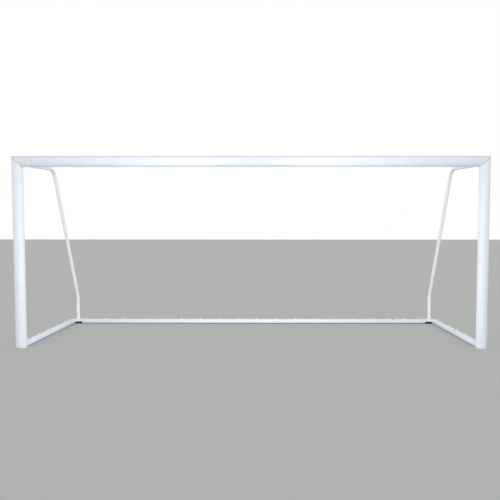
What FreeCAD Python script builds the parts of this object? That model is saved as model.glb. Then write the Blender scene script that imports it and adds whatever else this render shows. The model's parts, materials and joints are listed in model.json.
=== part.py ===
"""Free-standing youth soccer goal frame, 5 m x 2 m, in bolted aluminium profile.

The opening faces -Y and the ground frame runs back towards +Y. The origin is on the ground, in the
middle of the frame's outline. Pieces are drawn with y = 0 on the centre plane of the posts, and
each one's placement then moves it by MIDDLE to the common origin.
"""
import FreeCAD, Part
import os

import Sketcher
from FreeCAD import Rotation, Vector

DIMENSIONS = [
    ("clear_width", 5000, "between the posts"),
    ("clear_height", 2000, "ground to the underside of the crossbar"),
    ("base_depth", 1500, "post centre to rear bar centre"),
    ("post_width", 120, "oval profile, across the front"),
    ("post_depth", 100, "oval profile, front to back"),
    ("post_wall", 3, "wall of the oval profile"),
    ("land_drop", 1.6, "flat land at the back of the oval, below its crown"),
    ("mitre_gap", 0.6, "seam between post and crossbar"),
    ("bar_width", 80, "ground bar, across"),
    ("bar_height", 50, "ground bar, upright"),
    ("bar_radius", 15, "ground bar, outer corners"),
    ("bar_wall", 3, "wall of the ground bar"),
    ("bar_lift", 5, "ground bar's underside above the ground"),
    ("bar_offset", 14, "side bar's centre inside the post's centre"),
    ("channel_width", 20, "net groove, inside"),
    ("channel_depth", 12, "net groove, inside"),
    ("channel_wall", 3, "net groove, walls and lips"),
    ("mouth_width", 10, "net groove, opening"),
    ("cap_height", 15, "visible part of the post's end cap"),
    ("cap_plug", 50, "end cap, height inside the post"),
    ("cap_rib", 60, "end cap, flat wall beside the groove's box"),
    ("cap_edge", 2.5, "end cap, rounded lower edge"),
    ("fit_gap", 0.5, "play between a spigot and its tube"),
    ("connector_reach", 280, "corner connector, along each tube"),
    ("connector_wall", 6, "corner connector, wall"),
    ("connector_back", 41, "corner connector, half width of its flat back"),
    ("connector_screw_near", 180, "corner screw, from the corner's axis"),
    ("connector_screw_far", 240, "corner screw, from the corner's axis"),
    ("small_screw", 3, "M6 shank radius"),
    ("small_head", 4.8, "M6 head radius"),
    ("small_head_height", 4, "M6 head height"),
    ("small_socket", 2.5, "M6 hexagon socket, half across corners"),
    ("small_screw_length", 14, "M6 shank length"),
    ("large_screw", 4, "M8 shank radius"),
    ("large_head", 7, "M8 button head radius"),
    ("large_head_height", 4, "M8 button head height"),
    ("large_head_edge", 1, "M8 button head, straight rim"),
    ("large_socket", 2.9, "M8 hexagon socket, half across corners"),
    ("large_screw_length", 12, "M8 shank length"),
    ("nut_radius", 7.5, "M8 nut across corners, half"),
    ("nut_height", 6.5, "M8 nut height"),
    ("nut_flange", 1.5, "M8 nut, flange"),
    ("bolt_foot_width", 14, "T bolt's foot, across the groove"),
    ("bolt_foot_length", 18, "T bolt's foot, along the groove"),
    ("bolt_foot_height", 5, "T bolt's foot"),
    ("bolt_tip", 2, "T bolt beyond its nut"),
    ("thread_play", 0.05, "radial play of a screw in its thread"),
    ("hole_play", 0.4, "radial play of a screw in a through hole"),
    ("plate", 5, "bolted plates"),
    ("shoe_length", 75, "front end of the side bar, behind the post's centre"),
    ("shoe_ear_width", 28, "upright ear of the shoe"),
    ("shoe_ear_top", 150, "upright ear of the shoe, top"),
    ("shoe_bolt_low", 85, "shoe bolt, above the ground"),
    ("shoe_bolt_high", 125, "shoe bolt, above the ground"),
    ("spigot_width", 58, "spigot beside the net groove"),
    ("spigot_length", 140, "spigot inside a bar"),
    ("spigot_radius", 11, "spigot corners"),
    ("spigot_wall", 6, "spigot wall"),
    ("front_screw_y", 100, "side bar's front screw, behind the post's centre"),
    ("side_bar_end", 100, "side bar stops before the rear bar's centre line"),
    ("rear_bar_end", 136, "rear bar stops before the side bar's centre line"),
    ("corner_round", 45, "rear corner, outside radius"),
    ("corner_fillet", 45, "rear corner, inside radius"),
    ("corner_edge", 12, "rear corner, rounded top edge"),
    ("lug_setback", 25, "net lug in front of the rear bar's centre line"),
    ("lug_drop", 5, "net lug's underside below the bar's middle"),
    ("lug_root", 12, "net lug's root inside the corner"),
    ("corner_screw", 85, "corner screw, from the end of its bar"),
    ("pad_height", 28, "rubber pad under the rear corner's neck"),
    ("pad_inset", 2, "rubber pad inside the neck's outline"),
    ("pad_round", 6, "rubber pad, corners"),
    ("pad_screw_spread", 30, "rubber pad's screws, either side of its middle"),
    ("pad_screw_setback", 27, "rubber pad's screws behind the rear bar's centre line"),
    ("pad_bore", 7, "counterbore for the pad's screws"),
    ("support_radius", 21, "net support tube"),
    ("support_wall", 2.5, "net support tube's wall"),
    ("support_inset", 90, "net support inside the post's centre"),
    ("support_drop", 30, "net support's top below the crossbar's centre"),
    ("support_start", 80, "front end of the support's tube"),
    ("set_y", 110, "slight bend behind the tongue, from where the upper run climbs"),
    ("set_radius", 300, "slight bend behind the tongue"),
    ("bend_y", 735, "upper bend of the net support"),
    ("bend_rise", 32, "upper bend above the support's front end"),
    ("bend_radius", 150, "upper bend of the net support"),
    ("kink_z", 385, "lower bend of the net support"),
    ("kink_radius", 90, "lower bend of the net support"),
    ("leg_setback", 10, "leg in front of the rear bar's centre line"),
    ("leg_foot", 32, "underside of the leg's plug"),
    ("leg_plug", 5, "flange of the leg's plug"),
    ("leg_plug_body", 20, "leg's plug inside the tube"),
    ("leg_plug_edge", 1.5, "leg's plug, rounded lower edge"),
    ("leg_play", 0.6, "radial play of the leg in its socket"),
    ("bush_wall", 2.8, "socket bush"),
    ("bush_rim", 2, "rim of the socket bush"),
    ("socket_floor", 31, "floor of the leg socket, above the ground"),
    ("boss_radius", 28, "boss around the leg socket"),
    ("boss_rise", 7, "boss above the corner's top"),
    ("boss_root", 15, "boss below the corner's top"),
    ("thread_depth", 14, "threaded hole in the rear corner's spigots"),
    ("pad_thread_depth", 12, "threaded hole above the rubber pad"),
    ("wing", 50, "support bracket, half length along the crossbar"),
    ("wing_height", 34, "support bracket, height of its wings"),
    ("wing_round", 8, "support bracket, corners of its wings"),
    ("wing_bolt", 36, "support bracket's bolts from its middle"),
    ("pocket_half", 22, "support bracket's pocket, half width outside"),
    ("pocket_base", 2010, "support bracket's pocket, underside"),
    ("pocket_top", 2052, "support bracket's pocket, rim"),
    ("pocket_depth", 20, "support bracket's pocket, front to back outside"),
    ("pocket_wall", 4, "support bracket's pocket, walls"),
    ("pocket_slot", 10, "support bracket's rear slot, half width"),
    ("pocket_lip", 3, "support bracket's pocket, lips beside the slot"),
    ("pocket_floor", 4, "support bracket's pocket, floor"),
    ("tongue_half", 17, "tongue of the net support, half width"),
    ("tongue_base", 2015.5, "tongue's underside"),
    ("tongue_top", 2049, "tongue's top"),
    ("tongue_thick", 7, "tongue, front to back"),
    ("tongue_front", 8, "tongue's front face behind the crossbar's land"),
    ("tongue_disc", 4, "disc that closes the tube"),
    ("neck_half", 8, "neck between tongue and tube, half width"),
    ("hook_reach", 13, "net hook, out from its groove"),
    ("hook_rise", 37, "net hook, above the groove's centre"),
    ("hook_width", 12, "net hook, along the groove"),
    ("hook_stem", 4, "net hook, thickness"),
    ("hook_foot", 18, "net hook, square foot in the groove"),
    ("hook_play", 0.3, "net hook, play on both sides of the groove's lips"),
    ("hook_round", 2, "net hook, corners of its foot and plate"),
    ("hook_foot_height", 4.5, "net hook, thickness of its foot"),
    ("hook_neck", 9, "net hook, square neck through the groove's mouth"),
    ("hook_plate", 2.5, "net hook, plate against the rail"),
    ("hook_plate_width", 16, "net hook, plate against the rail"),
    ("hook_plate_height", 20, "net hook, plate against the rail"),
    ("hook_low", 8, "net hook, arm's underside below the groove's centre"),
    ("hook_bend", 7, "net hook, outer bend of the arm"),
    ("left_rear_hook_first", 216, "left rear bar's hooks, from the middle"),
    ("left_rear_hook_pitch", 269, "left rear bar's hooks"),
    ("right_rear_hook_first", 50, "right rear bar's hooks, from the middle"),
    ("right_rear_hook_pitch", 270, "right rear bar's hooks"),
    ("end_rear_hook_first", 1899, "right rear bar's last hooks, from the middle"),
    ("end_rear_hook_pitch", 240, "right rear bar's last hooks"),
    ("beam_hook_first", 131, "crossbar hooks, from the middle"),
    ("beam_hook_pitch", 262, "crossbar hooks"),
    ("post_hook_first", 260, "post hooks, above the ground"),
    ("post_hook_pitch", 240, "post hooks"),
    ("side_hook_first", 222, "side bar hooks, behind the post's centre"),
    ("side_hook_pitch", 281, "side bar hooks"),
    ("sleeve_left", 300, "rear sleeve, length in the left half"),
    ("sleeve_right", 560, "rear sleeve, length in the right half"),
    ("sleeve_screw_near", 340, "rear sleeve's screw, from the middle"),
    ("sleeve_screw_far", 500, "rear sleeve's screw, from the middle"),
    ("rivet_near", 100, "rear sleeve's rivet, from the middle"),
    ("rivet_far", 250, "rear sleeve's rivet, from the middle"),
    ("rivet_radius", 2.4, "rivet shank"),
    ("rivet_head", 5, "rivet head radius"),
    ("rivet_head_height", 1.5, "rivet head"),
    ("rivet_length", 10, "rivet shank"),
    ("anchor_y", 720, "anchor hole in the side bar, behind the post's centre"),
    ("anchor_x", 1960, "anchor hole in the rear bar, from the middle"),
    ("anchor_bore", 8, "anchor bush, bore radius"),
    ("anchor_wall", 2, "anchor bush, wall"),
    ("anchor_rim", 12.5, "anchor bush, rim radius"),
    ("anchor_rim_height", 1.5, "anchor bush, rim"),
]
LEFT_REAR_HOOKS = 9      # on the left half of the rear bar
RIGHT_REAR_HOOKS = 7     # evenly spaced on the right half of the rear bar
END_REAR_HOOKS = 3       # closer together, at the right half's outer end
BEAM_HOOKS = 9           # on each half of the crossbar
POST_HOOKS = 8           # on each post
SIDE_HOOKS = 5           # on each side bar
HEXAGON = 6              # corners of sockets and nuts

# Places worked out from the driving dimensions.
POST_X = "(dims.clear_width / 2 + dims.post_width / 2)"
OUTER_X = "(dims.clear_width / 2 + dims.post_width)"
BEAM_Z = "(dims.clear_height + dims.post_width / 2)"
BEAM_TOP = "(dims.clear_height + dims.post_width)"
POST_LAND = "(dims.post_depth / 2 - dims.land_drop)"
BAR_X = f"({POST_X} - dims.bar_offset)"
BAR_Z = "(dims.bar_lift + dims.bar_height / 2)"
BAR_TOP = "(dims.bar_lift + dims.bar_height)"
BAR_INNER_X = f"({BAR_X} - dims.bar_width / 2)"
BAR_OUTER_X = f"({BAR_X} + dims.bar_width / 2)"
REAR_FRONT = "(dims.base_depth - dims.bar_width / 2)"
REAR_BACK = "(dims.base_depth + dims.bar_width / 2)"
SIDE_END = "(dims.base_depth - dims.side_bar_end)"
REAR_END = f"({BAR_X} - dims.rear_bar_end)"
SUPPORT_X = f"({POST_X} - dims.support_inset)"
SUPPORT_Z = f"({BEAM_Z} - dims.support_drop)"
LEG_Y = "(dims.base_depth - dims.leg_setback)"
CHANNEL = "(dims.channel_depth + 2 * dims.channel_wall)"
CHANNEL_FLOOR = f"({POST_LAND} - {CHANNEL} + dims.channel_wall)"
SPIGOT_LOW = "(dims.bar_wall + dims.fit_gap)"
SPIGOT_HEIGHT = f"(dims.bar_height - 2 * {SPIGOT_LOW})"
SPIGOT_X = f"({BAR_INNER_X} + {SPIGOT_LOW} + dims.spigot_width / 2)"
SPIGOT_Y = f"({REAR_FRONT} + {SPIGOT_LOW} + dims.spigot_width / 2)"
MIDDLE = f"(({REAR_BACK} + dims.hook_reach - dims.post_depth / 2) / 2)"
BOSS_TOP = f"({BAR_TOP} + dims.boss_rise)"
BUSH_RADIUS = "(dims.support_radius + dims.leg_play + dims.bush_wall)"
PAD_X = f"(({BAR_INNER_X} + {REAR_END}) / 2)"

# Holes and the fasteners that share them.
SCREW_HOLE = "(dims.large_screw + dims.hole_play)"
SCREW_THREAD = "(dims.large_screw + dims.thread_play)"
SMALL_HOLE = "(dims.small_screw + dims.hole_play)"
SMALL_THREAD = "(dims.small_screw + dims.thread_play)"
RIVET_HOLE = "(dims.rivet_radius + dims.thread_play * 2)"
ANCHOR_HOLE = "(dims.anchor_bore + dims.anchor_wall + dims.thread_play * 2)"
PAD_SCREWS = [(f"({PAD_X} {sign} dims.pad_screw_spread)", "(dims.base_depth + dims.pad_screw_setback)")
              for sign in "-+"]
CONNECTOR_SCREWS = ["dims.connector_screw_near", "dims.connector_screw_far"]
SHOE_BOLTS = ["dims.shoe_bolt_low", "dims.shoe_bolt_high"]
SLEEVE_SCREWS = ["dims.sleeve_screw_near", "dims.sleeve_screw_far"]
SLEEVE_RIVETS = ["-dims.rivet_near", "-dims.rivet_far"]

BEYOND = "1"             # how far a cut runs past the face it opens
REACH = "20"             # how far a mitre's cutter runs past the profile
CLEAR = "200"            # longer than any cut that has to pass right through a profile

# Turns that point a fastener's or hook's outward direction (+Y as drawn) somewhere else.
BACKWARD = Rotation()
FORWARD = Rotation(Vector(0, 0, 1), 180)
RIGHTWARD = Rotation(Vector(0, 0, 1), -90)
LEFTWARD = Rotation(Vector(0, 0, 1), 90)
UPWARD = Rotation(Vector(1, 0, 0), 90)
DOWNWARD = Rotation(Vector(1, 0, 0), -90)

doc = FreeCAD.newDocument("soccer_goal_frame")
sheet = doc.addObject("Spreadsheet::Sheet", "dims")
for row, (alias, size, note) in enumerate(DIMENSIONS, start=1):
    sheet.set(f"A{row}", note)
    sheet.set(f"B{row}", str(size))
    sheet.setAlias(f"B{row}", alias)
doc.recompute()
parts = {}


def value(expression):
    """Number that an expression of the sheet's cells gives."""
    return float(sheet.evalExpression(expression))


def keep(piece, label):
    """Name a finished sub-part and list it for export."""
    piece.Label = label
    parts[label] = piece
    return piece


def place(piece, x="0", y="0", z="0"):
    """Bind a placement to the sheet, moved to the common origin."""
    for axis, expression in (("x", x), ("y", f"{y} - {MIDDLE}"), ("z", z)):
        piece.setExpression(f"Placement.Base.{axis}", expression)


def new_body(label, x="0", y="0", z="0"):
    body = doc.addObject("PartDesign::Body", label)
    place(body, x, y, z)
    return keep(body, label)


def mirrored(source, label):
    """The same piece on the other side of the frame."""
    twin = doc.addObject("Part::Mirroring", label)
    twin.Source = source
    twin.Normal = Vector(1, 0, 0)
    return keep(twin, label)


def add_sketch(body, plane, depth="0"):
    """Sketch on one of the body's origin planes, lifted along that plane's world axis."""
    sketch = body.newObject("Sketcher::SketchObject", f"{body.Name}_sketch")
    origin = next(item for item in body.Origin.OriginFeatures if item.Role == f"{plane}_Plane")
    sketch.AttachmentSupport = [(origin, "")]
    sketch.MapMode = "FlatFace"
    sign = "-" if plane == "XZ" else ""
    sketch.setExpression("AttachmentOffset.Base.z", f"{sign}({depth})")
    return sketch


def fix_point(sketch, geometry, position, x, y):
    for kind, expression in (("DistanceX", x), ("DistanceY", y)):
        index = sketch.addConstraint(
            Sketcher.Constraint(kind, -1, 1, geometry, position, value(expression)))
        sketch.setExpression(f"Constraints[{index}]", expression)


def fix_size(sketch, kind, geometry, expression):
    index = sketch.addConstraint(Sketcher.Constraint(kind, geometry, value(expression)))
    sketch.setExpression(f"Constraints[{index}]", expression)


def outline(points, closed=True):
    """Drawer of straight runs through (x, y) or, with a rounded corner, (x, y, radius)."""
    def draw(sketch):
        spots = [Vector(value(point[0]), value(point[1]), 0) for point in points]
        count = len(points) if closed else len(points) - 1
        lines = [sketch.addGeometry(Part.LineSegment(spots[i], spots[(i + 1) % len(points)]))
                 for i in range(count)]
        for i, line in enumerate(lines):
            if closed or i + 1 < count:
                sketch.addConstraint(
                    Sketcher.Constraint("Coincident", line, 2, lines[(i + 1) % count], 1))
        for i, point in enumerate(points):
            if len(point) == 2:
                end = (lines[i], 1) if i < count else (lines[-1], 2)
                fix_point(sketch, *end, point[0], point[1])
                continue
            arc = sketch.GeometryCount
            sketch.fillet(lines[i - 1], 2, value(point[2]), True, True)
            fix_point(sketch, arc + 1, 1, point[0], point[1])
            fix_size(sketch, "Radius", arc, point[2])
    return draw


def rectangle(x, y, width, height, radius=None):
    """Drawer of a rectangle from its low corner."""
    corners = [(x, y), (f"{x} + {width}", y), (f"{x} + {width}", f"{y} + {height}"),
               (x, f"{y} + {height}")]
    return outline([corner + (radius,) for corner in corners] if radius else corners)


def block(width, height, radius=None):
    """Drawer of a rectangle about the sketch's origin."""
    return rectangle(f"-{width} / 2", f"-{height} / 2", width, height, radius)


def circle(x, y, radius):
    def draw(sketch):
        ring = sketch.addGeometry(
            Part.Circle(Vector(value(x), value(y), 0), Vector(0, 0, 1), value(radius)))
        fix_point(sketch, ring, 3, x, y)
        fix_size(sketch, "Radius", ring, radius)
    return draw


def hexagon(radius):
    """Drawer of a hexagon about the sketch's origin."""
    turn = 360 / HEXAGON
    return outline([(f"{radius} * cos({turn * i})", f"{radius} * sin({turn * i})")
                    for i in range(HEXAGON)])


def oval(width, depth, upright=False):
    """Drawer of an ellipse about the sketch's origin; width is its long axis."""
    def draw(sketch):
        long, short = value(width) / 2, value(depth) / 2
        if upright:
            shape = Part.Ellipse(Vector(0, long, 0), Vector(short, 0, 0), Vector(0, 0, 0))
        else:
            shape = Part.Ellipse(Vector(0, 0, 0), long, short)
        ring = sketch.addGeometry(shape)
        axis = sketch.GeometryCount
        sketch.exposeInternalGeometry(ring)
        sketch.addConstraint(Sketcher.Constraint("Coincident", ring, 3, -1, 1))
        sketch.addConstraint(Sketcher.Constraint("Vertical" if upright else "Horizontal", axis))
        fix_size(sketch, "Distance", axis, width)
        fix_size(sketch, "Distance", axis + 1, depth)
    return draw


def prism(body, plane, start, length, *drawers, cut=False):
    """Slab of the drawn section from start, along the plane's positive world axis."""
    sketch = add_sketch(body, plane, start)
    for draw in drawers:
        draw(sketch)
    kind = "Pocket" if cut else "Pad"
    feature = body.newObject(f"PartDesign::{kind}", f"{body.Name}_{kind.lower()}")
    feature.Profile = sketch
    feature.setExpression("Length", length)
    feature.Reversed = (plane == "XZ") != cut
    return feature


def drill(body, plane, face, depth, holes, radius):
    """Round holes at the spots, from just outside the face to the depth."""
    return prism(body, plane, f"{face} - {BEYOND}", f"{depth} + {BEYOND}",
                 *[circle(x, y, radius) for x, y in holes], cut=True)


def through(body, plane, *drawers):
    """Cut right through, both ways from the body's origin."""
    return prism(body, plane, f"-{CLEAR}", f"2 * {CLEAR}", *drawers, cut=True)


def swap(points, turned):
    return [(y, x, *rest) for x, y, *rest in points] if turned else points


def groove(body, plane, start, length, land, turned, across="0"):
    """T-shaped net groove opening at the land: its box, then its channel and mouth."""
    half = "(dims.channel_width / 2)"
    mouth = "(dims.mouth_width / 2)"
    box = f"({half} + dims.channel_wall)"
    back = f"{land} - {CHANNEL}"
    floor = f"{back} + dims.channel_wall"
    lip = f"{land} - dims.channel_wall"
    above = f"{land} + dims.land_drop * 2"
    flat = f"{half} * 2"
    walls = [(f"{across} - {box}", back), (f"{across} + {box}", back),
             (f"{across} + {box}", land), (f"{across} - {box}", land)]
    left = [(flat, above), (flat, land), (mouth, land), (mouth, lip), (half, lip), (half, floor)]
    tee = ([(f"{across} - {x}", depth) for x, depth in left]
           + [(f"{across} + {x}", depth) for x, depth in reversed(left)])
    prism(body, plane, start, length, outline(swap(walls, turned)))
    prism(body, plane, start, length, outline(swap(tee, turned)), cut=True)


def oval_rail(body, plane, start, length, turned):
    """Hollow oval profile with its net groove, about the body's origin."""
    inner_width = "dims.post_width - 2 * dims.post_wall"
    inner_depth = "dims.post_depth - 2 * dims.post_wall"
    prism(body, plane, start, length, oval("dims.post_width", "dims.post_depth", turned),
          oval(inner_width, inner_depth, turned))
    groove(body, plane, start, length, POST_LAND, turned)


def inside_oval(play):
    """Width and depth of an oval that fits inside the profile with the play all round."""
    gap = f"2 * (dims.post_wall + {play})"
    return f"(dims.post_width - {gap})", f"(dims.post_depth - {gap})"


def bar_rail(body, plane, start, length, middle, outer):
    """Rounded hollow ground bar whose net groove opens at its outer face."""
    wall = "dims.bar_wall"
    low = f"{middle} - dims.bar_width / 2"
    prism(body, plane, start, length,
          rectangle(low, "dims.bar_lift", "dims.bar_width", "dims.bar_height", "dims.bar_radius"),
          rectangle(f"{low} + {wall}", f"dims.bar_lift + {wall}", f"dims.bar_width - 2 * {wall}",
                    f"dims.bar_height - 2 * {wall}", f"dims.bar_radius - {wall}"))
    groove(body, plane, start, length, outer, True, BAR_Z)


def spigot_sections(low):
    """Drawers of a spigot's outside and inside, for a bar whose inner face is at low."""
    wall = "dims.spigot_wall"
    x = f"{low} + {SPIGOT_LOW}"
    z = f"dims.bar_lift + {SPIGOT_LOW}"
    outside = rectangle(x, z, "dims.spigot_width", SPIGOT_HEIGHT, "dims.spigot_radius")
    inside = rectangle(f"{x} + {wall}", f"{z} + {wall}", f"dims.spigot_width - 2 * {wall}",
                       f"{SPIGOT_HEIGHT} - 2 * {wall}", f"dims.spigot_radius - {wall}")
    return outside, inside


def spigot(body, plane, start, low, hollow_start):
    """Rounded block that fills a bar beside its groove, hollowed from its free end."""
    outside, inside = spigot_sections(low)
    prism(body, plane, start, "dims.spigot_length", outside)
    prism(body, plane, hollow_start, "dims.spigot_length - dims.spigot_wall", inside, cut=True)


def round_edges(body, radius, wanted):
    """Fillet the edges of the body's tip that the test picks by their middle point."""
    doc.recompute()
    tip = body.Tip
    names = []
    for index, edge in enumerate(tip.Shape.Edges, start=1):
        if wanted(edge.valueAt((edge.FirstParameter + edge.LastParameter) / 2)):
            names.append(f"Edge{index}")
    fillet = body.newObject("PartDesign::Fillet", f"{body.Name}_fillet")
    fillet.Base = (tip, names)
    fillet.setExpression("Radius", radius)
    return fillet


def near(number, expression):
    """True where a coordinate lies on the plane that the expression gives."""
    return abs(number - value(expression)) < 0.01


def make_crossbar():
    body = new_body("crossbar", z=BEAM_Z)
    oval_rail(body, "YZ", f"-{OUTER_X}", f"2 * {OUTER_X}", True)
    half = "dims.post_width / 2"
    for side in ("", "-"):
        inner = f"{side}(dims.clear_width / 2 - dims.mitre_gap - {REACH})"
        outer = f"{side}({OUTER_X} - dims.mitre_gap + {REACH})"
        beyond = f"{side}({OUTER_X} + 2 * {REACH})"
        through(body, "XZ", outline([
            (inner, f"-{half} - {REACH}"), (outer, f"{half} + {REACH}"),
            (beyond, f"{half} + {REACH}"), (beyond, f"-{half} - {REACH}")]))
    holes = [(f"{side}({POST_X} - {distance})", "0")
             for side in ("", "-") for distance in CONNECTOR_SCREWS]
    drill(body, "XZ", f"{POST_LAND} - {CHANNEL}", f"{CHANNEL} / 2", holes, SMALL_HOLE)


def make_posts():
    body = new_body("right_post", x=POST_X)
    half = "dims.post_width / 2"
    oval_rail(body, "XY", "dims.cap_height", f"{BEAM_TOP} - dims.cap_height", False)
    through(body, "XZ", outline([
        (f"-{half} - {REACH}", f"dims.clear_height - {REACH}"),
        (f"{half} + {REACH}", f"{BEAM_TOP} + {REACH}"),
        (f"{half} + {REACH}", f"{BEAM_TOP} + 3 * {REACH}"),
        (f"-{half} - {REACH}", f"{BEAM_TOP} + 3 * {REACH}")]))
    holes = [("0", f"{BEAM_Z} - {distance}") for distance in CONNECTOR_SCREWS]
    drill(body, "XZ", f"{POST_LAND} - {CHANNEL}", f"{CHANNEL} / 2", holes, SMALL_HOLE)
    mirrored(body, "left_post")


def make_corner_connectors():
    """Mitred angle inside the corner: an oval ring swept round it, with a flat screwed back."""
    body = new_body("right_corner_connector", x=POST_X, z=BEAM_Z)
    reach = "dims.connector_reach"
    flat = f"({POST_LAND} - {CHANNEL} - dims.fit_gap)"
    backing = f"({flat} - dims.connector_wall)"
    sweeps = (("Additive", inside_oval("dims.fit_gap"), reach),
              ("Subtractive", inside_oval("dims.fit_gap + dims.connector_wall"), f"{reach} + {BEYOND}"))
    for kind, (wide, deep), end in sweeps:
        path = add_sketch(body, "XZ")
        outline([("0", f"-({end})"), ("0", "0"), (f"-({end})", "0")], closed=False)(path)
        section = add_sketch(body, "XY", f"-({end})")
        oval(wide, deep)(section)
        pipe = body.newObject(f"PartDesign::{kind}Pipe", f"{body.Name}_{kind}")
        pipe.Profile = section
        pipe.Spine = path
        pipe.Transition = "Right corner"
    corner = f"-{reach} - {REACH}"
    prism(body, "XZ", flat, CLEAR,
          rectangle(corner, corner, f"{reach} + {CLEAR}", f"{reach} + {CLEAR}"), cut=True)
    half = "dims.connector_back"
    prism(body, "XZ", backing, "dims.connector_wall", outline([
        (f"-{half}", f"-{reach}"), (half, f"-{reach}"), (half, half),
        (f"-{reach}", half), (f"-{reach}", f"-{half}"), (f"-{half}", f"-{half}")]))
    holes = [spot for distance in CONNECTOR_SCREWS
             for spot in (("0", f"-{distance}"), (f"-{distance}", "0"))]
    drill(body, "XZ", backing, f"dims.connector_wall + {BEYOND}", holes, SMALL_THREAD)
    mirrored(body, "left_corner_connector")


def make_post_caps():
    body = new_body("right_post_cap", x=POST_X)
    wall = "dims.bar_wall"
    flat = f"({POST_LAND} - {CHANNEL} - dims.fit_gap)"
    top = "dims.cap_height"
    prism(body, "XY", "0", top, oval("dims.post_width", "dims.post_depth"))
    prism(body, "XY", top, "dims.cap_plug", oval(*inside_oval("dims.fit_gap")))
    prism(body, "XY", top, CLEAR, rectangle(f"-{CLEAR} / 2", flat, CLEAR, CLEAR), cut=True)
    prism(body, "XY", top, CLEAR, oval(*inside_oval(f"dims.fit_gap + {wall}")), cut=True)
    prism(body, "XY", top, "dims.cap_plug",
          rectangle("-dims.cap_rib / 2", f"{flat} - {wall}", "dims.cap_rib", wall))
    round_edges(body, "dims.cap_edge", lambda spot: near(spot.z, "0"))
    mirrored(body, "left_post_cap")


def make_shoes():
    """Casting between post and side bar: coped to the oval, with a spigot and a bolted ear."""
    body = new_body("right_shoe")
    prism(body, "XZ", "0", "dims.shoe_length", rectangle(
        BAR_INNER_X, "dims.bar_lift", "dims.bar_width", "dims.bar_height", "dims.bar_radius"))
    width = "dims.shoe_ear_width"
    low, high = f"({POST_X} - {width} / 2)", f"({POST_X} + {width} / 2)"
    prism(body, "XZ", "0", f"{POST_LAND} + dims.plate", outline([
        (low, BAR_Z), (high, BAR_Z),
        (high, "dims.shoe_ear_top", f"{width} / 3"), (low, "dims.shoe_ear_top", f"{width} / 3")]))
    spigot(body, "XZ", "dims.shoe_length", BAR_INNER_X, "dims.shoe_length + dims.spigot_wall")
    cope = add_sketch(body, "XY", f"-{BEYOND}")
    cope.setExpression("AttachmentOffset.Base.x", POST_X)
    oval("dims.post_width + dims.fit_gap", "dims.post_depth + dims.fit_gap")(cope)
    pocket = body.newObject("PartDesign::Pocket", f"{body.Name}_cope")
    pocket.Profile = cope
    pocket.setExpression("Length", CLEAR)
    pocket.Reversed = True
    drill(body, "XZ", BEYOND, "dims.post_depth", [(POST_X, height) for height in SHOE_BOLTS],
          SCREW_HOLE)
    drill(body, "YZ", BAR_INNER_X, f"{SPIGOT_LOW} + dims.spigot_wall + {BEYOND}",
          [("dims.front_screw_y", BAR_Z)], SCREW_THREAD)
    mirrored(body, "left_shoe")


def make_side_bars():
    body = new_body("right_side_bar")
    bar_rail(body, "XZ", "dims.shoe_length", f"{SIDE_END} - dims.shoe_length", BAR_X, BAR_OUTER_X)
    drill(body, "YZ", BAR_INNER_X, f"dims.bar_wall + {BEYOND}", [("dims.front_screw_y", BAR_Z)],
          SCREW_HOLE)
    drill(body, "XY", f"{BAR_TOP} - dims.bar_wall", f"dims.bar_wall + {BEYOND}",
          [(SPIGOT_X, f"{SIDE_END} - dims.corner_screw")], SCREW_HOLE)
    through(body, "XY", circle(SPIGOT_X, "dims.anchor_y", ANCHOR_HOLE))
    mirrored(body, "left_side_bar")


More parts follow.
